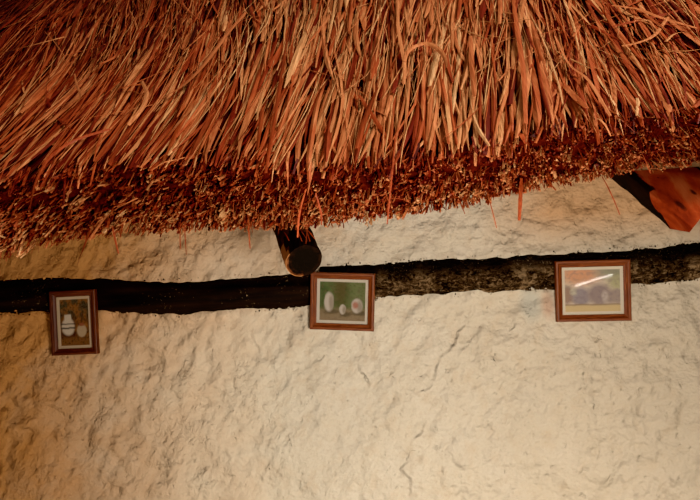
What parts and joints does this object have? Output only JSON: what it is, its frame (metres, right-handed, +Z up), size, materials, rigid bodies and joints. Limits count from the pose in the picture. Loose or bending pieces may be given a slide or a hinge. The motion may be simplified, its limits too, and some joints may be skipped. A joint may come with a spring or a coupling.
{
  "type": "thatched cottage eave and wall section",
  "caption": "Length of a thatched cottage's limewashed side wall with its overhanging eave, rafters, battens, bond logs and small framed pictures hung on the outside.",
  "frame": {"origin": "on the ground, at the middle of the wall's foot", "axes": "+X along the wall, to the right as seen from outside; +Y through the wall, into the cottage; +Z up"},
  "size_m": [4.5029, 1.5897, 3.4306],
  "materials": {
    "limewashed_wall": "cream limewash over a hand-trowelled lumpy coat, dull",
    "tarred_log": "black tarred log, half dull",
    "barked_log": "rough brown-black log with bark and dust",
    "plate_timber": "aged brown round timber, dull",
    "rafter_pole": "dark brown round pole with bark left on, dull",
    "hewn_rafter": "hewn red-brown timber with black bark on its edges",
    "batten_pole": "weathered thin pole, dull",
    "thatch": "dry rust-orange and straw-coloured grass in layers, dull",
    "frame_wood": "reddish-brown varnished moulding, half gloss",
    "picture_glass": "clear, glossy",
    "left_print": null,
    "centre_print": null,
    "right_print": null,
    "backing_board": "brown hardboard, dull",
    "nail_iron": "dull iron"
  },
  "bodies": {
    "root": {"masonry_wall": "limewashed_wall", "left_bond_log": "tarred_log", "right_bond_log": "barked_log", "inner_bond_log": "tarred_log", "outer_wall_plate": "plate_timber", "inner_wall_plate": "plate_timber", "rafter_1": "rafter_pole", "rafter_2": "rafter_pole", "rafter_3": "rafter_pole", "rafter_4": "hewn_rafter", "rafter_5": "rafter_pole", "batten_1": "batten_pole", "batten_2": "batten_pole", "batten_3": "batten_pole", "batten_4": "batten_pole", "batten_5": "batten_pole", "batten_6": "batten_pole", "batten_7": "batten_pole", "batten_8": "batten_pole", "eave_thatch": "thatch", "thatch_course_2": "thatch", "thatch_course_3": "thatch", "thatch_course_4": "thatch", "left_picture_frame": "frame_wood", "left_picture_glass": "picture_glass", "left_picture_print": "left_print", "left_picture_backing": "backing_board", "left_picture_nail": "nail_iron", "centre_picture_frame": "frame_wood", "centre_picture_glass": "picture_glass", "centre_picture_print": "centre_print", "centre_picture_backing": "backing_board", "centre_picture_nail": "nail_iron", "right_picture_frame": "frame_wood", "right_picture_glass": "picture_glass", "right_picture_print": "right_print", "right_picture_backing": "backing_board", "right_picture_nail": "nail_iron"}
  },
  "joints": []
}
